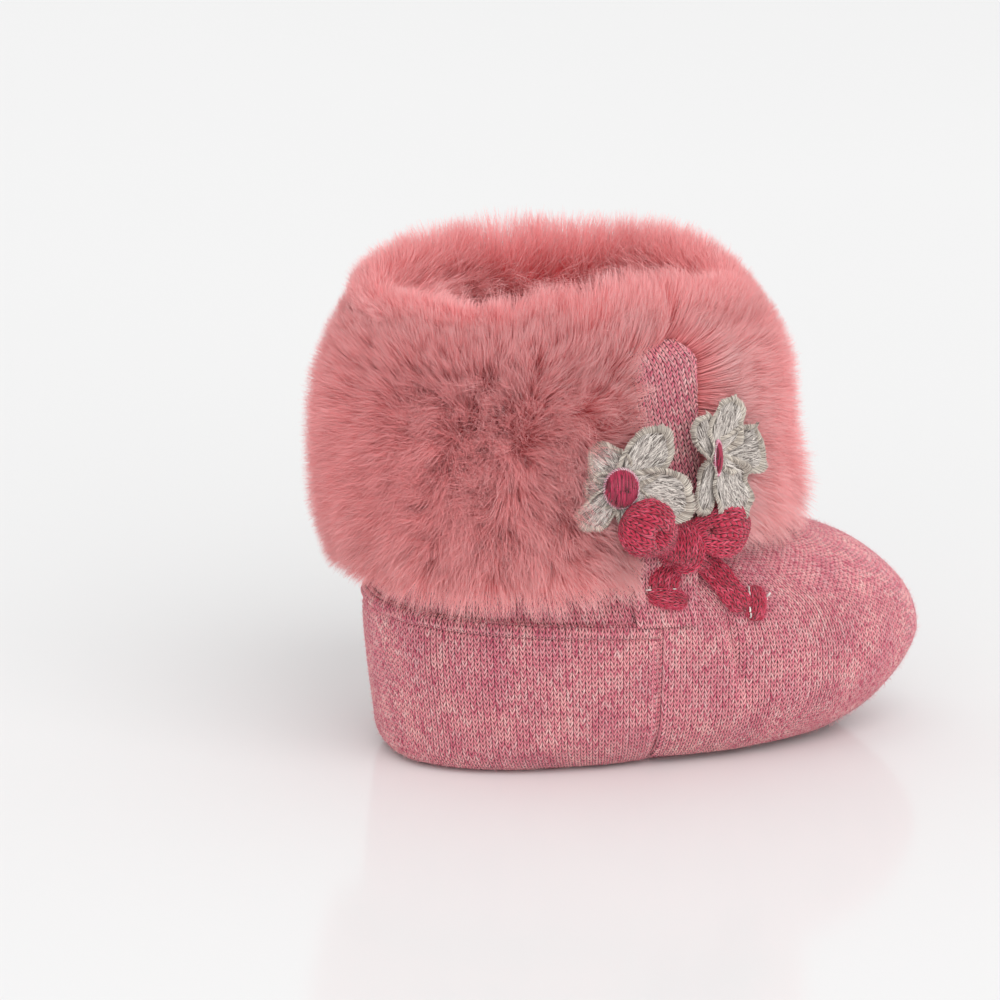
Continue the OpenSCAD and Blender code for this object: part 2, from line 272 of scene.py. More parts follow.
def knit_piece(name, points, look, node, relief=0.5, wale=WALE, course=COURSE, column=0.5, closed=False,
               wales=None):
    """A knitted sheet whose wales run along v, counted on the row at column."""
    nu, nv = points.shape[:2]
    middle = points[:, int((nv - 1) * column)][:, None]
    a = run_along(middle) / wale
    if wales:
        a = a / a[-1] * wales
    a = np.broadcast_to(a, (nu, nv))
    return stitched_piece(name, points, a, run_along(points, 1) / course, relief, look, node, closed)


def block_piece(name, outer, inner, look, node):
    """A closed block between two grids of points, such as a lining or a pad."""
    nu, nv = outer.shape[:2]
    ring = np.concatenate([outer, inner[:, ::-1], outer[:, :1]], axis=1)
    around = ring.shape[1]
    first, last = np.arange(nv - 1), (nu - 1) * around
    cap = np.stack([first, first + 1, 2 * nv - 2 - first, 2 * nv - 1 - first], axis=1)
    quads = np.concatenate([grid_quads(nu, around), cap, (cap + last)[:, ::-1]])
    uvs = {"OFBake": unit_square(nu, around)}
    return mesh_piece(name, ring.reshape(-1, 3), quads, look, node, uvs)


def strand_piece(name, points, faces, look, node, tone=None):
    """Many like strands: points is (strands, steps, points around, 3), faces those of one strand."""
    count, steps, around = points.shape[:3]
    quads = (faces[None] + steps * around * np.arange(count)[:, None, None]).reshape(-1, 4)
    tone = rng.random(count) if tone is None else tone
    uv = vec(tone[:, None, None], np.linspace(0, 1, steps)[:, None], np.zeros(around))[..., :2]
    return mesh_piece(name, points.reshape(-1, 3), quads, look, node, {"OFBake": uv.reshape(-1, 2)})


def thread_piece(name, paths, radius, facing, look, node, sides=5):
    """Many threads at once: paths is (threads, points, 3) and facing the way that they face."""
    count, steps = paths.shape[:2]
    forward = unit(np.gradient(paths, axis=1))
    right = unit(np.cross(forward, np.broadcast_to(facing, forward.shape)))
    up = np.cross(right, forward)
    angle = np.linspace(0, 2 * np.pi, sides + 1)
    radius = np.broadcast_to(np.asarray(radius, float), (count, steps))[:, :, None, None]
    around = np.cos(angle)[:, None] * right[:, :, None] + np.sin(angle)[:, None] * up[:, :, None]
    faces = grid_quads(steps, sides + 1)[:, [0, 3, 2, 1]]
    return strand_piece(name, paths[:, :, None] + radius * around, faces, look, node)


HAIR_TAPER = np.array([1, 1, 0.85, 0.6, 0.15])
HAIR_STEPS = np.linspace(0, 1, 5)[None, :, None]


def hair_piece(name, curves, width, facing, look, node, tone=None):
    """Fine tapered hairs: curves is (hairs, 5, 3) and facing the way that each one faces."""
    count, steps = curves.shape[:2]
    across = unit(np.cross(unit(np.gradient(curves, axis=1)), facing[:, None]))
    half = (0.5 * np.asarray(width) * np.ones(count))[:, None, None] * HAIR_TAPER[:, None]
    points = np.stack([curves - across * half, curves + across * half], axis=2)
    faces = grid_quads(steps, 2)[:, [0, 3, 2, 1]]
    return strand_piece(name, points, faces, look, node, tone)


# ---- materials

def rgb(red, green, blue):
    """Linear colour from display values of 0 to 255."""
    parts = [c / 255 for c in (red, green, blue)]
    linear = [c / 12.92 if c <= 0.04045 else ((c + 0.055) / 1.055) ** 2.4 for c in parts]
    return (*linear, 1.0)


class Graph:
    """Builds one node material."""

    def __init__(self, name, **shader_values):
        self.material = bpy.data.materials.new(name)
        self.material.use_nodes = True
        self.tree = self.material.node_tree
        self.shader = self.tree.nodes["Principled BSDF"]
        for socket, value in shader_values.items():
            self.shader.inputs[socket.replace("_", " ")].default_value = value

    def node(self, kind, *inputs, out=0, **settings):
        made = self.tree.nodes.new("ShaderNode" + kind)
        for key, value in settings.items():
            setattr(made, key, value)
        for socket, value in zip(made.inputs, inputs):
            if isinstance(value, bpy.types.NodeSocket):
                self.tree.links.new(value, socket)
            elif value is not None:
                socket.default_value = value
        return made.outputs[out]

    def math(self, operation, *inputs):
        return self.node("Math", *inputs, operation=operation)

    def times(self, first, second, plus=0.0):
        return self.math("MULTIPLY_ADD", first, second, plus)

    def less(self, first, second):
        return self.math("SUBTRACT", first, second)

    def noise(self, place, scale, detail=2.0, roughness=0.5):
        return self.node("TexNoise", place, None, scale, detail, roughness)

    def ramp(self, value, *stops):
        colour = self.node("ValToRGB", value)
        elements = colour.node.color_ramp.elements
        while len(elements) < len(stops):
            elements.new(0.5)
        for element, stop in zip(elements, stops):
            element.position, element.color = stop
        return colour

    def blend(self, amount, first, second, how="MIX"):
        unused = [None] * 5
        return self.node("Mix", amount, *unused, first, second, out=2, data_type="RGBA", blend_type=how)

    def uv(self, name):
        split = self.node("SeparateXYZ", self.node("UVMap", uv_map=name)).node
        return split.outputs["X"], split.outputs["Y"]

    def spot(self):
        return self.node("TexCoord", out=3)

    def bump(self, height, distance, strength=1.0):
        return self.node("Bump", strength, distance, None, height)

    def surface(self, colour, roughness, normal=None):
        """Links the shader and returns the material."""
        for socket, value in (("Base Color", colour), ("Roughness", roughness), ("Normal", normal)):
            if value is not None:
                self.tree.links.new(value, self.shader.inputs[socket])
        return self.material


def knit_material(name, dark, deep, mid, light, gap_shade_colour, contrast=1.0):
    """V stitches of heathered yarn: the colour runs along the legs of each stitch, and painted shade darkens
    the low gaps between stitches.
    """
    g = Graph(name, Sheen_Weight=0.25, Sheen_Roughness=0.6, Specular_IOR_Level=0.2)
    a, b = g.uv("Knit")
    across = g.math("ABSOLUTE", g.less(g.math("FRACT", a), 0.5))
    along = g.less(b, g.times(across, LEG_RISE))
    ridge = g.math("POWER", g.math("SINE", g.times(across, 2 * math.pi)), 0.75)
    floor = g.times(g.math("LESS_THAN", across, 0.25), 0.35, 0.15)
    ridge = g.math("MAXIMUM", ridge, floor)
    place = g.less(g.times(g.math("FRACT", along), 2.0), 1.0)
    body = g.less(1.0, g.times(place, place))
    height = g.times(ridge, g.times(body, 0.85, 0.15))
    leg = g.math("FLOOR", g.times(a, 2.0))
    yarn = g.node("CombineXYZ", g.times(leg, 7.31), g.times(along, 0.8), 0.0)
    fibre = g.node("CombineXYZ", g.times(a, 9.0), g.times(along, 1.3), 0.0)
    fleck = g.math("ADD", g.times(g.noise(yarn, 1.0, 1.0), 0.62),
                   g.times(g.noise(fibre, 1.0, 3.0), 0.38))
    fleck = g.times(g.less(fleck, 0.5), 1.5 * contrast, 0.5)
    tint = g.ramp(fleck, (0.22, dark), (0.38, deep), (0.55, mid), (0.76, light))
    cloud = g.noise(g.spot(), 130.0, 4.0)
    cloud = g.ramp(cloud, (0.35, (0.83, 0.70, 0.77, 1)), (0.65, (0.98, 1.05, 1.01, 1)))
    tint = g.blend(1.0, tint, cloud, "MULTIPLY")
    # Painted shade: where the stitch relief is low, between the stitches, the colour goes to the dark gap
    # colour, broken up by noise.
    gap_shade = g.times(g.less(g.noise(fibre, 0.7, 3.0), 0.5), 0.7, height)
    colour = g.blend(g.ramp(gap_shade, (0.12, (0, 0, 0, 1)), (0.56, (1, 1, 1, 1))), gap_shade_colour, tint)
    fuzzy = g.math("ADD", height, g.times(g.noise(fibre, 3.0, 2.0), 0.25))
    return g.surface(colour, g.times(fleck, 0.2, 0.75), g.bump(fuzzy, 0.0003, 0.7))


def hair_material(name, root, middle, tip, pale, sheen=0.3):
    """Hair whose colour darkens towards its root as painted shade deep in the pile and is pale at its tip,
    with a tone of its own.
    """
    g = Graph(name, Sheen_Weight=sheen, Sheen_Roughness=0.5, Specular_IOR_Level=0.25)
    tone, along = g.uv("OFBake")
    # Painted shade: both ramps are darkest at the root end.
    low = g.ramp(along, (0.0, root), (0.20, middle), (0.88, tip))
    high = g.ramp(along, (0.0, middle), (0.35, tip), (0.9, pale))
    return g.surface(g.blend(g.times(tone, tone), low, high), g.times(tone, 0.2, 0.6))


def thread_material(name, dark, light, roughness):
    """Spun thread, each strand with a tone of its own."""
    g = Graph(name, Sheen_Weight=0.15, Specular_IOR_Level=0.5)
    colour = g.ramp(g.uv("OFBake")[0], (0.0, dark), (1.0, light))
    rough = g.times(g.noise(g.spot(), 900.0), 0.3, roughness - 0.15)
    return g.surface(colour, rough, g.bump(g.noise(g.spot(), 6000.0, 3.0), 0.0001, 0.5))


def cloth_material(name, dark, light, grain, bump):
    """Plain soft cloth or wadding with a fine grain."""
    g = Graph(name, Sheen_Weight=0.3, Sheen_Roughness=0.5, Specular_IOR_Level=0.2)
    speck = g.noise(g.spot(), grain, 6.0, 0.65)
    colour = g.ramp(speck, (0.35, dark), (0.65, light))
    return g.surface(colour, g.times(speck, 0.2, 0.78), g.bump(speck, bump))


def floor_material():
    g = Graph("studio_floor", Specular_IOR_Level=0.08)
    colour = g.ramp(g.noise(g.spot(), 2.0), (0.3, rgb(242, 242, 242)), (0.7, rgb(244, 244, 244)))
    return g.surface(colour, g.times(g.noise(g.spot(), 12.0), 0.04, 0.10))


# Each look is a material and a slot name
# The knit's last colour is painted shade for the gaps between stitches.
KNIT = knit_material(
    "heathered_knit", rgb(198, 76, 106), rgb(232, 126, 144), rgb(246, 166, 170), rgb(253, 202, 202),
    rgb(52, 8, 20), contrast=1.15), "knit"
# Fur: the root colour is painted shade deep in the pile; the pale colour also carries painted light on the
# smooth pile at the rims and by the strip.
FUR = hair_material(
    "fur_hair", rgb(255, 112, 116), rgb(255, 155, 157), rgb(253, 173, 174), rgb(241, 198, 197),
    sheen=0.22), "fur"
FUR_BACKING = cloth_material("fur_backing", rgb(222, 92, 98), rgb(240, 124, 128), 700.0, 0.0004), "fur"
LINING = cloth_material("lining_jersey", rgb(222, 160, 164), rgb(236, 184, 186), 1500.0, 0.0002), "lining"
PADDING = cloth_material("padding_wadding", rgb(228, 226, 220), rgb(246, 244, 240), 500.0, 0.0006), "padding"
SILVER_FILL = thread_material("silver_embroidery", rgb(112, 102, 97), rgb(234, 225, 217), 0.42), "embroidery"
SILVER_EDGE = thread_material("silver_satin_edge", rgb(138, 126, 116), rgb(231, 221, 208), 0.4), "embroidery"
SILVER_GROUND = cloth_material(
    "embroidery_ground", rgb(112, 102, 96), rgb(156, 146, 138), 2500.0, 0.0002), "embroidery"
SILVER_THREAD = thread_material(
    "silver_thread", rgb(196, 188, 182), rgb(244, 240, 234), 0.38), "silver_thread"
RING_THREAD = thread_material("pale_ring_thread", rgb(206, 120, 150), rgb(240, 206, 214), 0.4), "cord"
RASPBERRY_SATIN = thread_material("raspberry_satin", rgb(94, 4, 30), rgb(192, 46, 86), 0.34), "cord"
# The yarn's last colour is painted shade for the gaps between stitches.
YARN = knit_material(
    "raspberry_yarn", rgb(144, 16, 46), rgb(188, 36, 66), rgb(214, 58, 88), rgb(236, 104, 128),
    rgb(52, 2, 14), contrast=1.3), "cord"
YARN_HAIR = hair_material(
    "raspberry_fibre", rgb(176, 34, 70), rgb(204, 56, 92), rgb(222, 90, 120), rgb(232, 120, 144)), "cord"
SEWING = thread_material("sewing_thread", rgb(120, 40, 62), rgb(176, 78, 98), 0.6), "sewing_thread"
KNIT_HAIR = hair_material(
    "knit_fibre", rgb(200, 110, 122), rgb(222, 146, 154), rgb(238, 186, 190), rgb(248, 212, 212)), "knit"


# ---- knitted panels

def toe_rise(low, count):
    """Heights from low to the instep that step evenly along the toe's middle line."""
    def toe_line(k):
        return skin(0, mix(low, INSTEP_HEIGHT + 1, k))

    return mix(low, INSTEP_HEIGHT + 1, even_steps(toe_line, count)[0])


def panel_angles(front, z, u):
    """Angles across a panel that runs between the side seams."""
    a = side_angle(SEAM_X + 0.02, z) if front else side_angle(SEAM_X - 0.02, z)
    return mix(-a, a, u) if front else mix(a, 360 - a, u)


def level_steps(front, z, count):
    """Even steps across a panel at one height, and the length run."""
    return even_steps(lambda k: skin(panel_angles(front, z, k), z), count)


STITCH_INSET = 2.6


def band_top(u):
    return BAND_HEIGHT + BAND_BACK_RISE * np.sin(np.pi * u)


def make_heel_band():
    """Outer band, whose top edge is folded in and stitched through."""
    u, length = level_steps(False, 15.0, 760)
    v = np.linspace(0, 1, 250)
    # Height as a share of the band, then the roll of its folded top edge
    at = [0, 0.02, 0.04, 0.86, 0.895, 0.93, 1]
    share = np.interp(v, at, [0.02, 0.012, 0.04, 0.965, 1.0, 0.985, 0.8])
    roll = np.interp(v, at, [1.6, 0.5, 0, 0, 0.45, 1.05, 1.35])
    U, share = grid(u, share)
    Z = share * band_top(U)
    below = band_top(U) - STITCH_INSET - Z
    groove = 0.45 * bell(below, 0.55)
    hem = -0.45 * ease((-below + 0.2) / 1.2) * (roll[None] < 0.3)
    from_seam = np.minimum(U, 1 - U) * length
    belly = -0.5 * np.sin(np.pi * np.clip(share, 0, 1)) + 0.25 * wave(U * 19, Z / 9, 3)
    belly = belly * ease(from_seam / 7)
    seam = 1.1 * bell(from_seam, 0.55)
    points = layer(panel_angles(False, Z, U), Z, np.maximum(roll[None], seam) + groove + hem + belly)
    return knit_piece("heel_band_knit", points, KNIT, "heel_band", column=0.4)


def make_rear_quarter():
    """Ankle tube behind the seams; its stitches matter only below the fur."""
    u = level_steps(False, 34.0, 620)[0]
    hidden = np.linspace(52, ANKLE_TOP, 14)
    z = np.concatenate([np.linspace(16, 26, 8)[:-1], np.linspace(26, 50, 130), hidden])
    U, Z = grid(u, z)
    depth = 1.5 + 0.25 * wave(U * 23, Z / 6, 5)
    points = layer(panel_angles(False, Z, U), Z, depth)
    return knit_piece("rear_quarter_knit", points, KNIT, "rear_quarter", column=0.3, relief=0.35)


def vamp_wrinkles(points):
    """Soft dents of the toe piece: a crease below the bow and a slack instep."""
    x, y, z = points[..., 0], points[..., 1], points[..., 2]
    outer = ease((-y - 6) / 10)
    crease = 1.3 * bell(x - 9 - (30 - z) * 0.25, 1.5) * ease((z - 12) / 8) * ease((36 - z) / 8)
    dimple = 0.7 * np.exp(-(((x - 30) / 9) ** 2 + ((z - 39) / 3.5) ** 2))
    return crease * outer + dimple + 0.30 * wave(x / 7, (z + y) / 8, 2)


def make_vamp():
    u = level_steps(True, 12.0, 680)[0]
    z = np.concatenate([toe_rise(1.0, 340), np.linspace(48, ANKLE_TOP, 12)])
    U, Z = grid(u, z)
    lap = 1.8
    T = side_angle(SEAM_X - lap, Z) * (2 * U - 1)
    behind = SEAM_X - skin(T, Z)[..., 0]
    tuck = 1.4 * bell(Z - 1.0, 0.5)
    points = layer(T, Z, np.maximum(tuck, 1.15 * ease((behind + 0.5) / 0.9)))
    soft = (Z < 50) * ease((-behind - 0.5) / 4)
    points -= (vamp_wrinkles(points) * soft)[..., None] * skin_normal(T, Z)
    return knit_piece("vamp_knit", points, KNIT, "vamp", column=0.2)


def make_fuzz():
    """Loose fibres that stand off the knit."""
    for name, front, count in (("heel_band", False, 11000), ("vamp", True, 15000)):
        climb = rng.random(count)
        z = np.interp(climb, np.linspace(0, 1, 400), toe_rise(1.0, 400)) if front else 1 + 28 * climb
        t = panel_angles(front, z, rng.random(count))
        normal = skin_normal(t, z)
        drift = unit(0.25 * normal + rng.normal(size=normal.shape))
        path = unit(normal[:, None] + (0.4 + 1.6 * HAIR_STEPS) * drift[:, None])
        curves = layer(t, z, -0.1)[:, None] + path * HAIR_STEPS * rng.uniform(0.6, 1.5, (count, 1, 1))
        facing = unit(normal + rng.normal(size=normal.shape))
        hair_piece(f"{name}_fuzz", curves, 0.05, facing, KNIT_HAIR, name)


def make_side_strip():
    """Knit tab over the side seam, its edges turned under."""
    low, top = 30.0, 87.0
    u, v = grid(np.linspace(-1, 1, 90), np.linspace(0, 1, 300))
    z = mix(low, top, v)
    corner = ease((z - top + 5) / 5)
    width = STRIP_WIDTH / 2 * (1 - 0.28 * corner**2)
    x = STRIP_X + u * width - 1.2 * corner + 2.0 * (0.5 - (z - 40) / (top - 40)) * (z > 40) + (z <= 40)
    edge = np.abs(u) ** 16
    end = np.clip((z - top + 3) / 3, 0, 1) ** 2
    blend_in = 1 - ease((z - 34) / 12)
    depth = -5.0 + 1.5 * edge + 2.2 * end + 4.2 * blend_in + 0.15 * wave(x / 3, z / 5, 7)
    points = layer(360 - side_angle(x, z), z, depth)
    slant, wale = 0.1225, 1.2
    a = (u * width + (z - low) * slant) / wale
    b = run_along(points, 1) / COURSE
    return stitched_piece("side_strip_knit", points, a, b, 0.35, KNIT, "side_strip")


def sole_line(t, inset):
    """Flat line round the sole, in from its rim."""
    out = skin_normal(t, TOE_EDGE)
    out[..., 2] = 0
    line = skin(t, 0.3) - inset * unit(out)
    line[..., 2] = 0
    return line


def sole_rings(insets, heights, sides=360):
    """Closed rings round the sole, from (inset, height) corners."""
    t = np.linspace(0, 360, sides + 1)
    points = np.stack([sole_line(t, inset) for inset in insets], axis=1)
    points[..., 2] = heights
    return points


def fill_to_middle(ring, count):
    """Rings that shrink from a rim to the long middle line of the sole."""
    spine = ring.copy()
    spine[:, 1] = TOE_TURN * (np.maximum(0, ring[:, 0]) / TOE_X) ** 2
    spine[:, 0] = np.clip(ring[:, 0], HEEL_X + 26, TOE_X - 26)
    k = np.linspace(0, 1, count)[None, :, None]
    return mix(spine[:, None], ring[:, None], k)


def make_outsole():
    """Knit sole panel; its rim is the rounded seam under the walls."""
    flat = fill_to_middle(sole_rings([0.6], [0.05])[:, 0], 90)
    rim = sole_rings([0.2, -0.2, -0.45, -0.5, -0.3, 0.2, 1.2], [0.1, 0.35, 0.75, 1.1, 1.5, 1.75, 1.8])
    points = np.concatenate([flat, rim], axis=1)
    stitches = points[..., :2][..., ::-1] / (WALE, COURSE)
    return grid_piece("outsole_knit", points[::-1], KNIT, "outsole", stitches[::-1])


def pad_form(low, high, inset, crown):
    """Closed crowned form between two heights, such as the insole."""
    rim_in = np.array([inset + 1.0, inset + 0.2, inset, inset + 0.2, inset + 1.0])
    rim = sole_rings(rim_in, np.linspace(low, high, 5))
    bottom = fill_to_middle(rim[:, 0], 14)
    top = fill_to_middle(rim[:, -1], 30)[:, ::-1]
    inward = np.linspace(0, 1, 30)
    top[..., 2] += crown * np.sin(inward * np.pi / 2)
    return np.concatenate([bottom, rim[:, 1:-1], top], axis=1)


def make_inside():
    """Wadding and linings inside the shoe."""
    pad = grid_piece("sole_wadding", pad_form(1.7, 4.9, 4.6, 0.2)[::-1], PADDING, "sole_padding")
    grid_piece("insole_lining", pad_form(5.4, 6.4, 4.3, 0.25)[::-1], LINING, "insole")
    for name, front, top, out, thick, look, node in (
        ("heel_wadding", False, PADDING_TOP, 3.1, 1.7, PADDING, "heel_padding"),
        ("heel_lining_jersey", False, INNER_LEG_LOW - 1, 5.0, 0.8, LINING, "heel_lining"),
        ("toe_wadding", True, PADDING_TOP, 1.6, 2.0, PADDING, "toe_padding"),
        ("toe_lining_jersey", True, INNER_LEG_LOW - 1, 3.8, 0.8, LINING, "toe_lining"),
    ):
        u = np.linspace(0, 1, 140)
        z = np.concatenate([toe_rise(LINING_LOW, 44), np.linspace(50, top, 8)])
        U, Z = grid(u, z)
        T = panel_angles(front, Z, U)
        soft = 0.08 * wave(U * 30, Z / 3, 9)
        outer, inner = layer(T, Z, out + soft), layer(T, Z, out + thick + soft)
        if look is LINING:
            hem = sole_line(T, 5.9)
            k = ease((Z - LINING_LOW) / 2.6)[..., None]
            outer, inner = mix(hem + [0, 0, 6.75], outer, k), mix(hem + [0, 0, 7.35], inner, k)
        piece = block_piece(name, outer, inner, look, node)


# ---- fur

DEGREE_RUN = 0.56
LOWEST_ROOT = 3.0
STRIP_REAR = float(360 - side_angle(STRIP_X - STRIP_WIDTH / 2 - 0.9, ANKLE_TOP))
STRIP_FRONT = float(-side_angle(STRIP_X + STRIP_WIDTH / 2 - 0.6, ANKLE_TOP))
STRIP_TOP = float(-side_angle(STRIP_X, ANKLE_TOP))
INNER_SEAM = float(side_angle(SEAM_X, ANKLE_TOP))


def cuff_section(low):
    """Corners of the backing's section, up outside and down inside, and the length run at each."""
    corners = np.array([
        (0.9, low + 1.0), (2.0, low + 3.5), (2.3, mix(low, ANKLE_TOP, 0.5)), (2.2, ANKLE_TOP - 5),
        (1.3, ANKLE_TOP + 0.5), (-1.2, ANKLE_TOP + 2.4), (-3.8, ANKLE_TOP + 0.8),
        (-5.2, ANKLE_TOP - 5), (-5.4, INNER_LEG_LOW + 2)])
    return corners, run_along(corners)


def cuff_place(t, s, low):
    """Point, outward normal, upward and sideways directions at angle t and length s."""
    corners, run = cuff_section(low)

    def at(length):
        return np.interp(length, run, corners[:, 0]), np.interp(length, run, corners[:, 1])

    q, z = at(s)
    rounding = 1.5
    q1, z1 = at(np.minimum(s + rounding, run[-1]))
    q0, z0 = at(np.maximum(s - rounding, 0))
    base, out = ankle_rim(t), ankle_out(t)
    point = vec(base[..., 0] + q * out[..., 0], base[..., 1] + q * out[..., 1], z)
    size = np.maximum(np.hypot(q1 - q0, z1 - z0), 1e-6)
    along_q, along_z = (q1 - q0) / size, (z1 - z0) / size
    up = vec(along_q * out[..., 0], along_q * out[..., 1], along_z)
    normal = vec(along_z * out[..., 0], along_z * out[..., 1], -along_q)
    return point, normal, up, vec(-out[..., 1], out[..., 0], 0)


class Panel:
    """One fur panel: its angles, its section and how its pile lies."""

    def __init__(self, name, node, start, end, top_start, top_end, low, strip_share, strip_lean, hang):
        self.name, self.node, self.low, self.hang = name, node, low, hang
        self.strip_share, self.strip_lean = strip_share, strip_lean
        self.start, self.end, self.top_start, self.top_end = start, end, top_start, top_end
        run = cuff_section(low)[1]
        self.length, self.outside = run[-1], run[4]
        self.round = run_along(ankle_rim(np.linspace(start, end, 200)))[-1]

    def angle(self, u, s):
        """Above the strip the panel runs on until it meets the other one."""
        k = ease((s - self.outside + 7) / 5)
        return mix(mix(self.start, self.top_start, k), mix(self.end, self.top_end, k), u)

    def pile(self, t, s):
        """Lean sideways and upwards, length, unevenness, swirl and paleness of the pile; the paleness is
        painted light.
        """
        outside = s < self.outside
        height = s / self.outside
        below_crest = 1 - ease((s - self.outside + 9) / 7)
        strip_away = np.abs(turn_from(STRIP_TOP, t)) * DEGREE_RUN - STRIP_WIDTH / 2
        over_strip = np.exp(-np.maximum(strip_away, 0) / 11)
        near = over_strip * below_crest
        seam_away = np.abs(turn_from(INNER_SEAM, t)) * DEGREE_RUN
        seam_near = np.exp(-seam_away / 7)
        reach = (height - 0.47) / 0.5
        comb = np.sign(reach) * np.abs(reach) ** 1.6
        lift = np.where(outside, comb * np.where(reach > 0, 1.35, self.hang), 0.1)
        lift = np.where(s > self.outside + 7, -0.1 - 0.35 * ease((s - self.outside - 12) / 12), lift)
        border = np.clip(np.abs(reach), 0, 1) ** 1.5
        sideways = self.strip_lean * near - 0.25 * seam_near
        far = ease((np.sin(np.radians(t)) + 0.3) / 1.0)
        dip = bell(t % 360 - 236, 20)
        crest = mix(10.0, 13.2, far) * (1 - 0.45 * dip) + 2.2 * over_strip
        length = np.where(outside, 12.2, np.where(s < self.outside + 7, crest, 12.5))
        rounded = mix(length, crest, ease((height - 0.85) / 0.15))
        length = np.where(outside & (height > 0.85), rounded, length)
        heel = bell(t % 360 - 188, 34)
        toe = bell(turn_from(-10, t), 42)
        length = length * (1 - 0.42 * heel * ease((0.36 - height) / 0.36))
        high = ease((height - 0.60) / 0.40) * (s < self.outside + 7)
        shoulder = bell(t % 360 - 174, 42)
        length = length * (1 - (0.52 * shoulder + 0.42 * toe) * high)
        length = length * (1 + 0.36 * toe * ease((0.5 - height) / 0.4))
        length = length * mix(1, self.strip_share, near) * mix(1, 0.9, seam_near)
        uneven = np.where(outside, mix(0.85, 0.30, np.maximum(border, near)), 0.60)
        swirl = np.where(outside, mix(0.42, 0.26, np.maximum(border, near)), 0.22)
        # Painted light: the pile next to the strip is made paler, where it lies flat and catches the light.
        return sideways, lift, length, uneven, swirl, 0.35 * near


def nearest(points, leaders, cell):
    """Index of the nearest leader to each flat point, or -1, by a search over square cells."""
    low = np.minimum(points.min(0), leaders.min(0))
    home = ((points - low) / cell).astype(int) + 1
    place = ((leaders - low) / cell).astype(int) + 1
    span = int(max(home[:, 0].max(), place[:, 0].max())) + 3
    key = place[:, 0] + span * place[:, 1]
    order = np.argsort(key, kind="stable")
    key = key[order]
    best, best_gap = np.full(len(points), -1), np.full(len(points), 1e9)
    for di in (-1, 0, 1):
        for dj in (-1, 0, 1):
            wanted = home[:, 0] + di + span * (home[:, 1] + dj)
            start = np.searchsorted(key, wanted)
            for k in range(8):
                at = np.minimum(start + k, len(key) - 1)
                gap = ((leaders[order[at]] - points) ** 2).sum(1)
                better = (key[at] == wanted) & (gap < best_gap)
                best[better] = order[at][better]
                best_gap[better] = gap[better]
    return best


def grow(panel, first_s, last_s, density, width):
    """Hair curves on part of a panel: each hair leans to the nearest of the tuft leaders."""
    area = panel.round * (last_s - first_s)

    def curves_at(place, jitter, stretch):
        u, s = place[:, 0] / panel.round, place[:, 1]
        t = panel.angle(u, s)
        point, normal, up, side = cuff_place(t, s, panel.low)
        lean, lift, length, uneven, swirl, pale = panel.pile(t, s)
        lean = lean + swirl * wave(place[:, 0] / 1.9, s / 1.8, 4) + uneven * jitter[:, 0]
        lift = lift + swirl * wave(place[:, 0] / 1.8, s / 1.9, 8) + uneven * jitter[:, 1]
        tangent = lean[:, None] * side + lift[:, None] * up
        first = unit(normal + 0.5 * tangent)
        last = unit(0.8 * normal + 1.1 * tangent - np.array([0, 0, 0.08]))
        length = (length * stretch)[:, None, None]
        bend = unit(mix(first[:, None], last[:, None], 0.5 * HAIR_STEPS**1.3))
        # The third value is painted light: smooth, even pile at the borders, by the strip and inside is made
        # paler, as if lit.
        return point[:, None] + bend * HAIR_STEPS * length, normal, 0.6 * (0.85 - uneven) + pale

    def scatter(count):
        return vec(rng.random(count) * panel.round, mix(first_s, last_s, rng.random(count)))

    leaders = scatter(int(area / 2.4))
    stretch = 1 + 0.07 * rng.normal(size=len(leaders))
    led_by = curves_at(leaders, rng.normal(size=(len(leaders), 2)), stretch)[0]
    count = int(area * density)
    place = scatter(count)
    own, normal, pale = curves_at(place, 0.3 * rng.normal(size=(count, 2)), rng.uniform(0.84, 1.04, count))
    leader = nearest(place, leaders, 2.0)
    hold = rng.uniform(0.05, 0.55, count) * (leader >= 0) * (rng.random(count) > 0.2)
    guide = led_by[np.maximum(leader, 0)]
    led = guide + (own[:, :1] - guide[:, :1]) * (1 - 0.6 * HAIR_STEPS)
    curves = mix(own, led, hold[:, None, None] * HAIR_STEPS**0.7)
    facing = unit(normal + 0.6 * rng.normal(size=(count, 3)))
    # Each hair's tone is random, plus the painted light from the pile's paleness.
    tone = np.clip(rng.random(count) * 0.75 + pale, 0, 1)
    return curves, facing, width * rng.uniform(0.7, 1.15, count), tone


def make_fur():
    rear = Panel("rear", "fur_cuff_rear", INNER_SEAM + 0.4, STRIP_REAR, INNER_SEAM + 0.4,
                 360 + STRIP_TOP - 0.4, CUFF_REAR_LOW, 0.70, 0.36, 0.8)
    front = Panel("front", "fur_cuff_front", STRIP_FRONT, INNER_SEAM - 0.4, STRIP_TOP + 0.4,
                  INNER_SEAM - 0.4, CUFF_FRONT_LOW, 0.90, 0.85, 1.2)
    for panel, slices in ((rear, 5), (front, 3)):
        u, s = grid(np.linspace(0, 1, 160), np.linspace(0, panel.length, 90))
        backing = cuff_place(panel.angle(u, s), s, panel.low)[0]
        grid_piece(f"fur_{panel.name}_backing", backing, FUR_BACKING, panel.node)
        crest = panel.outside + 5
        bounds = np.linspace(LOWEST_ROOT, crest, slices + 1)
        parts = [(f"outer_{k + 1}", bounds[k], bounds[k + 1], 23, 0.10) for k in range(slices)]
        for part, low, high, density, width in parts + [("inner", crest, panel.length, 12, 0.15)]:
            curves, facing, width, tone = grow(panel, low, high, density, width)
            hair_piece(f"fur_{panel.name}_{part}", curves, width, facing, FUR, panel.node, tone)


# ---- embroidered flowers

class Flower:
    """Flat frame of one flower: x to its right, y up and z out of the shoe."""

    def __init__(self, centre, yaw):
        self.centre = np.array(centre, float)
        c, s = math.cos(math.radians(yaw)), math.sin(math.radians(yaw))
        self.axes = np.array([(c, s, 0), (0, 0, 1), (s, -c, 0)])
        self.out = self.axes[2]

    def place(self, local):
        return self.centre + local @ self.axes


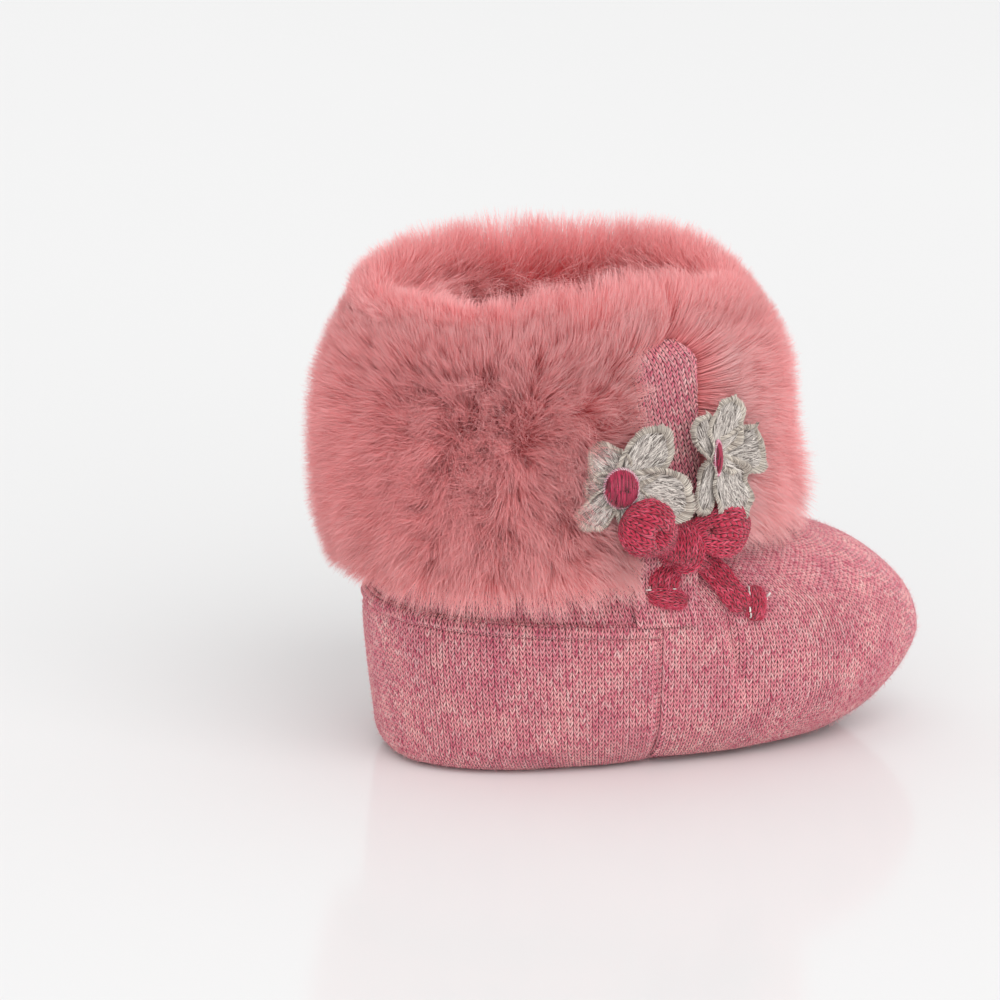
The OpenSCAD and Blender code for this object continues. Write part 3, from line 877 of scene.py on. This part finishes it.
class Petal:
    """A ruffled petal from its root to its tip, in its flower's frame."""

    def __init__(self, root, tip, half, lift, cup, ruffle, seed):
        self.root, tip = np.array(root, float), np.array(tip, float)
        self.length = np.linalg.norm(tip - self.root)
        self.along = (tip - self.root) / self.length
        self.across = np.array([self.along[1], -self.along[0]])
        self.half, self.lift, self.cup, self.ruffle, self.seed = half, lift, cup, ruffle, seed

    def surface(self, rho, phi, proud=0.0):
        """Point at radius rho (1 is the edge) and angle phi, proud of the petal's face."""
        rho = rho * (1 + 0.045 * np.sin(4 * phi + 2 * self.seed) + 0.03 * np.sin(7 * phi + self.seed))
        a = 0.5 + 0.5 * rho * np.sin(phi)
        taper = 0.62 + 0.42 * np.clip(a, 0, 1.1) ** 0.7
        b = rho * np.cos(phi) * taper
        flat = self.root + (a * self.length)[..., None] * self.along
        flat = flat + (b * self.half)[..., None] * self.across
        rise = self.lift * np.clip(a, 0, 2) ** 2 + self.cup * b**2
        waves = np.sin(3 * phi + self.seed) + 0.7 * np.sin(6 * phi + 2 * self.seed)
        rise = rise + self.ruffle * rho**3 * waves
        rise = rise + 0.2 * wave(a * 6, b * 6, self.seed)
        return vec(flat[..., 0], flat[..., 1], rise + proud)


def ridge(rho):
    """Height of the satin border over the petal's face."""
    return 0.6 * np.sin(np.pi * np.clip((rho - 0.80) / 0.24, 0, 1)) ** 0.8


def petal_ground(petal, flower):
    rho, phi = grid(np.linspace(0.02, 1.02, 22), np.linspace(0, 2 * np.pi, 80))
    return flower.place(petal.surface(rho, phi, ridge(rho) - 0.12))


def border_threads(petal, flower):
    """Satin stitches laid side by side over the edge."""
    pitch = 0.125
    edge = petal.surface(np.ones(300), np.linspace(0, 2 * np.pi, 300))
    count = int(run_along(edge)[-1] / pitch)
    turns = even_steps(lambda k: petal.surface(1 + 0 * k, 2 * np.pi * k), count)[0]
    phi = turns * 2 * np.pi + rng.normal(0, 0.012, len(turns))
    rho, phi = np.meshgrid(np.linspace(0.80, 1.05, 7), phi, indexing="xy")
    rho = rho + rng.normal(0, 0.018, (rho.shape[0], 1))
    slant = 0.06 * (rho - 0.92) / 0.12
    lift = ridge(rho) + rng.normal(0, 0.03, rho.shape[0])[:, None]
    return flower.place(petal.surface(rho, phi + slant, lift))


def fill_threads(petal, flower, cover=3.2):
    """Long stitches that run from the root towards the tip, in broken rows."""
    count = int(cover * petal.length * petal.half * 2 / (2.8 * 0.2))
    b = rng.uniform(-0.86, 0.86, count)
    start = rng.uniform(-0.05, 0.80, count)
    length = rng.uniform(1.2, 2.6, count) / petal.length
    k = np.linspace(0, 1, 6)[None]
    a = np.clip(start[:, None] + length[:, None] * k, 0, 0.93)
    b = b[:, None] * (0.55 + 0.45 * a) + rng.normal(0, 0.09, count)[:, None] * k
    sine, cosine = 2 * a - 1, b
    rho = np.minimum(np.hypot(sine, cosine), 0.86)
    phi = np.arctan2(sine, cosine)
    arch = 0.10 + 0.16 * np.sin(np.pi * k) + rng.uniform(0, 0.12, count)[:, None]
    return flower.place(petal.surface(rho, phi, arch))


def knob(flower, name, node, half_x, half_y, height, base):
    """Satin centre: stitches laid upright over a dome, with a ring of pale stitches round it."""
    columns, rows = int(half_x * 2 / 0.17), 4
    x = np.repeat(np.linspace(-0.96, 0.96, columns), rows)[:, None]
    low = np.tile(np.arange(rows) / rows, columns)[:, None] + rng.uniform(-0.09, 0.09, (columns * rows, 1))
    k = np.linspace(0, 1, 7)[None]
    y = np.sqrt(1 - x**2) * -np.cos(np.pi * np.clip(low + k * 1.2 / rows, 0, 1))
    z = np.sqrt(np.maximum(0, 1 - x**2 - y**2 * 0.98)) + 0.04 * np.sin(np.pi * k)
    x = x + rng.normal(0, 0.02, x.shape) + 0.03 * (k - 0.5)
    dome = flower.place(vec(x * half_x, y * half_y, base + z * height))
    thread_piece(name, dome, 0.13, flower.out, RASPBERRY_SATIN, node, sides=6)
    turn = np.linspace(0, 2 * np.pi, 46)[:-1, None]
    step = np.linspace(-1, 1, 5)[None]
    spread = 1.02 + 0.09 * step
    twist = turn + 0.10 * step
    ring = vec(spread * half_x * np.cos(twist), spread * half_y * np.sin(twist),
               base + 0.25 + 0.45 * (1 - step**2) + 0 * turn)
    thread_piece(name + "_ring", flower.place(ring), 0.12, flower.out, RING_THREAD, node)


def make_flower(flower, petals, side):
    ground, border, fill = [], [], []
    for petal in petals:
        ground.append(petal_ground(petal, flower))
        border.append(border_threads(petal, flower))
        fill.append(fill_threads(petal, flower))
    for k, sheet in enumerate(ground):
        grid_piece(f"{side}_petal_{k + 1}", sheet, SILVER_GROUND, f"{side}_flower_petals")
    thread_piece(f"{side}_petal_stitches", np.concatenate(fill), 0.085, flower.out, SILVER_FILL,
                 f"{side}_flower_petals", sides=4)
    thread_piece(f"{side}_petal_borders", np.concatenate(border), 0.065, flower.out, SILVER_EDGE,
                 f"{side}_flower_border", sides=4)


def make_flowers():
    left = Flower((-15.3, -38.1, 60.8), -6)
    make_flower(left, [
        Petal((1.2, 1.0), (-7.4, -8.4), 3.6, -1.8, 0.4, 0.5, 2.0),
        Petal((1.5, 0.5), (-6.6, -1.5), 4.0, -2.1, 0.4, 0.5, 0.7),
        Petal((0.5, 1.0), (4.6, -8.6), 4.4, -0.4, 0.5, 0.5, 5.0),
        Petal((2.2, -0.6), (-5.0, 7.2), 4.4, -2.0, 0.4, 0.6, 1.1),
        Petal((-0.3, -0.6), (9.0, 11.0), 4.9, 0.6, 1.0, 0.95, 3.4),
        Petal((-1.0, 0.6), (14.0, -3.8), 6.2, 0.8, 1.6, 0.8, 4.4),
    ], "left")
    knob(left, "left_flower_knob", "left_flower_centre", 3.2, 3.7, 3.4, 1.2)

    right = Flower((4.3, -34.9, 64.8), 26)
    make_flower(right, [
        Petal((0.6, 0.5), (-2.6, -11.2), 3.0, -0.6, -1.2, 0.6, 0.4),
        Petal((0.4, -1.0), (-2.8, 8.8), 3.4, -0.4, -1.0, 0.6, 2.6),
        Petal((0.0, -0.6), (4.4, 11.8), 4.4, 0.6, 1.3, 0.9, 1.9),
        Petal((0.2, 0.6), (7.0, -12.6), 5.2, 0.8, 1.3, 0.9, 3.3),
        Petal((0.0, 0.2), (11.8, 1.2), 5.6, 1.4, 1.6, 1.0, 5.2),
    ], "right")
    knob(right, "right_flower_knob", "right_flower_centre", 0.9, 3.3, 1.3, 0.9)


# ---- yarn bow

def smooth_path(corners, samples):
    """Evenly sampled smooth curve through the corners."""
    p = np.array(corners, float)
    p = np.concatenate([2 * p[:1] - p[1:2], p, 2 * p[-1:] - p[-2:-1]])
    pieces = []
    for k in range(1, len(p) - 2):
        t = np.linspace(0, 1, 24, endpoint=False)[:, None]
        a, b, c, d = p[k - 1:k + 3]
        pieces.append(0.5 * (2 * b + (c - a) * t + (2 * a - 5 * b + 4 * c - d) * t**2
                             + (3 * b - a - 3 * c + d) * t**3))
    pieces.append(p[-2:-1])
    path = np.concatenate(pieces)
    run = run_along(path)
    at = np.linspace(0, run[-1], samples)
    return np.stack([np.interp(at, run, path[:, k]) for k in range(3)], axis=1)


def on_skin(x, z, proud):
    """Point on the outer side, proud of the skin."""
    return layer(360 - side_angle(np.float64(x), np.float64(z)), np.float64(z), -proud)


def yarn_piece(name, node, corners, facing, half_wide, half_thick, wales, ends=0.12, eye=None):
    """Knitted cord with rounded ends along a path; facing is the way that its flat face looks.

    The eye, if any, is the dent of a folded loop: its share of the path and its side step.
    """
    samples = 190
    path = smooth_path(corners, samples)
    length = run_along(path)[-1]
    forward = unit(np.gradient(path, axis=0))
    right = unit(np.cross(forward, np.broadcast_to(facing, forward.shape)))
    up = np.cross(right, forward)
    k = np.linspace(0, 1, samples)[None, :, None]
    close = np.clip(np.minimum(k, 1 - k) / ends, 0.0, 1)
    close = np.sqrt(np.maximum(1 - (1 - close) ** 2, 0.0004))
    wide = np.interp(k, np.linspace(0, 1, len(half_wide)), half_wide) * close
    thick = np.interp(k, np.linspace(0, 1, len(half_thick)), half_thick) * close
    angle = np.linspace(0, 2 * np.pi, 97)[:, None, None]
    sink = 0
    if eye:
        sink = bell(k - eye[0], 0.07) * bell(angle - np.pi / 2 - eye[1], 0.30)
    points = path + np.cos(angle) * wide * right
    points = points + np.sin(angle) * thick * (1 - 1.15 * sink) * up
    points = points + 0.12 * wave(angle * 2, k * length / 1.5, len(name)) * close
    points = points + 0.16 * wave(angle * 3 + 2, k * length / 0.9, wales) * close
    knit_piece(name, points[::-1], YARN, node, 0.42, 1.0, 1.25, closed=True, wales=wales)
    fibre_at = rng.integers(0, samples, 700), rng.integers(0, 96, 700)
    root = points[fibre_at[1], fibre_at[0]]
    away = unit(root - path[fibre_at[0]])
    drift = unit(away + 0.9 * rng.normal(size=away.shape))
    path = unit(away[:, None] + HAIR_STEPS * drift[:, None]) * HAIR_STEPS
    curves = root[:, None] + path * rng.uniform(0.5, 1.3, (700, 1, 1))
    hair_piece(name + "_fibres", curves, 0.07, unit(rng.normal(size=away.shape)), YARN_HAIR, node)


def make_bow():
    face = unit(np.array([-0.15, -1.0, 0.15]))
    left = np.array([-10.2, -40.6, 52.5])
    right = np.array([6.7, -33.2, 49.2])
    knot = np.array([-1.8, -33.6, 47.3])
    yarn_piece("bow_left_lobe", "bow_left_loop", [
        knot + (-1.0, 0.5, 0.2), knot + (-4.2, -2.6, 2.0), left + (0.6, -0.2, -0.2),
        left + (-3.0, -0.4, 1.6), left + (-5.0, 0.4, 2.6)],
        face, [1.5, 3.0, 4.8, 5.7, 5.6], [1.4, 2.2, 3.0, 3.2, 2.4], 20, ends=0.3, eye=(0.60, 0.0))
    yarn_piece("bow_right_lobe", "bow_right_loop", [
        knot + (1.0, 0.6, 0.4), knot + (4.4, -0.4, 1.9), right + (0.8, -0.4, 0.3), right + (3.6, 0.4, -0.2),
        right + (5.0, 1.2, -0.7)],
        face, [1.5, 3.2, 4.6, 4.9, 4.6], [1.4, 2.2, 2.7, 2.6, 2.0], 17, ends=0.3, eye=(0.40, 0.1))
    yarn_piece("bow_knot_wrap", "bow_knot", [
        knot + (0.2, 2.0, 3.0), knot + (0.1, -0.6, 2.4), knot + (0, -1.8, 0.2), knot + (0.2, -0.8, -2.0),
        knot + (0.3, 1.8, -2.6)], face, [2.9, 3.7, 4.0, 3.7, 2.9], [1.0, 1.4, 1.6, 1.4, 1.0], 15, ends=0.08)
    yarn_piece("bow_left_tail_cord", "bow_left_tail", [
        knot + (-1.2, 0.6, -2.2), on_skin(-2.9, 42.4, 2.4), on_skin(-4.6, 39.8, 2.0),
        on_skin(-5.0, 37.4, 1.2)], face, [2.4, 3.0, 3.4, 3.4], [1.4, 1.7, 1.6, 1.0], 14, ends=0.08)
    yarn_piece("bow_left_tail_foot", "bow_left_tail_fold", [
        on_skin(-7.4, 36.4, 1.0), on_skin(-4.0, 35.5, 1.5), on_skin(0.3, 34.7, 0.9)],
        face, [1.3, 1.8, 1.5], [1.1, 1.5, 1.1], 10, ends=0.2)
    yarn_piece("bow_right_tail_cord", "bow_right_tail", [
        knot + (1.8, 0.4, -2.2), on_skin(4.2, 41.0, 2.6), on_skin(8.2, 36.8, 2.2), on_skin(12.0, 32.4, 1.2)],
        face, [2.4, 2.2, 2.1, 2.3], [1.7, 1.8, 1.7, 1.2], 11)
    yarn_piece("bow_right_tail_foot", "bow_right_tail_fold", [
        on_skin(14.6, 35.8, 0.8), on_skin(14.8, 33.2, 1.3), on_skin(14.2, 30.2, 0.8)],
        face, [1.2, 1.5, 1.6], [1.0, 1.3, 1.1], 8, ends=0.2)


# ---- sewn stitches

def sewn_row(name, node, at, count, share, radius, look, sink=0.3):
    """A row of stitches along at(k), each dipping into the fabric at both ends."""
    k = (np.arange(count)[:, None] + 0.5 + (np.linspace(0, 1, 9)[None] - 0.5) * share) / count
    points, normal = at(k)
    points = points + rng.normal(0, 0.12, (count, 1, 3)) * np.array([1, 0.2, 1]) + 0 * normal
    arch = sink * (2 * np.linspace(0, 1, 9) - 1) ** 4
    return thread_piece(name, points - arch[None, :, None] * normal, radius, normal, look, node)


def make_stitches():
    def topstitch(k):
        z = band_top(k) - STITCH_INSET
        t = panel_angles(False, z, k)
        return layer(t, z, 0.22), skin_normal(t, z)

    sewn_row("heel_topstitch_thread", "heel_band_topstitch", topstitch, 96, 0.8, 0.17, SEWING)

    def vamp_row(k):
        z = mix(34.6, 43.0, k)
        t = 360 - side_angle(15.6 + 6 * np.sin(np.radians(150) * k), z)
        return layer(t, z, -0.1), skin_normal(t, z)

    sewn_row("vamp_row_thread", "vamp_stitching", vamp_row, 6, 0.72, 0.24, SEWING)

    for name, start, end, proud, count, share, radius, sink in (
        ("left_tail_stitches", (-8.0, 37.1), (-1.8, 36.8), 2.4, 5, 0.8, 0.16, 0.6),
        ("right_tail_stitches", (13.2, 36.2), (13.1, 30.4), 1.8, 5, 0.8, 0.16, 0.6),
        ("toe_tack", (16.8, 33.4), (18.2, 34.6), 0.6, 3, 0.9, 0.2, 0.5),
        ("knot_tack", (2.0, 48.0), (2.6, 44.6), 11.6, 4, 0.9, 0.18, 0.5),
    ):
        def tack(k):
            x, z = mix(start[0], end[0], k), mix(start[1], end[1], k)
            t = 360 - side_angle(x, z)
            return layer(t, z, -proud), skin_normal(t, z)

        sewn_row(name, "bow_tack_stitches", tack, count, share, radius, SILVER_THREAD, sink)


# ---- stage, light and camera

def make_stage():
    size = 6000.0
    x, y = grid(np.linspace(-size, size, 3), np.linspace(-size, size, 3))
    mesh = bpy.data.meshes.new("studio_floor")
    points = (vec(x, y, -0.05) * MM).reshape(-1, 3)
    mesh.from_pydata(points.tolist(), [], grid_quads(3, 3).tolist())
    mesh.materials.append(floor_material())
    floor = bpy.data.objects.new("studio_floor", mesh)
    bpy.context.scene.collection.objects.link(floor)


def back_from(azimuth, elevation):
    """Direction from the aim back to a lamp or the camera."""
    a, e = math.radians(azimuth), math.radians(elevation)
    return Vector((math.sin(a) * math.cos(e), -math.cos(a) * math.cos(e), math.sin(e)))


def place_object(name, data, back, location):
    made = bpy.data.objects.new(name, data)
    made.rotation_euler = back.to_track_quat("Z", "Y").to_euler()
    made.location = location
    bpy.context.scene.collection.objects.link(made)
    return made


def make_light():
    world = bpy.context.scene.world = bpy.data.worlds.new("soft_room")
    world.use_nodes = True
    background = world.node_tree.nodes["Background"]
    background.inputs["Color"].default_value = (1.0, 1.0, 1.0, 1.0)
    background.inputs["Strength"].default_value = 0.75
    for name, strength, azimuth, elevation, angle in (
        ("key", 1.24, 14.0, 38.0, 55.0),
        ("fill", 0.90, -18.0, 12.0, 60.0),
    ):
        lamp = bpy.data.lights.new(name, "SUN")
        lamp.energy = strength
        lamp.angle = math.radians(angle)
        back = back_from(azimuth, elevation)
        place_object(name, lamp, back, back * 2)


def make_camera():
    back = back_from(-14, 14)
    aim = Vector((-0.0252, 0.0179, 0.0452))
    camera = bpy.data.cameras.new("camera")
    camera.lens = 270
    camera.sensor_width = 36
    camera.clip_start = 0.05
    bpy.context.scene.camera = place_object("camera", camera, back, aim + back * 1.5)
    bpy.context.scene.view_settings.view_transform = "Standard"


make_camera()
make_stage()
make_light()
make_heel_band()
make_rear_quarter()
make_vamp()
make_fuzz()
make_side_strip()
make_outsole()
make_inside()
make_fur()
make_flowers()
make_bow()
make_stitches()
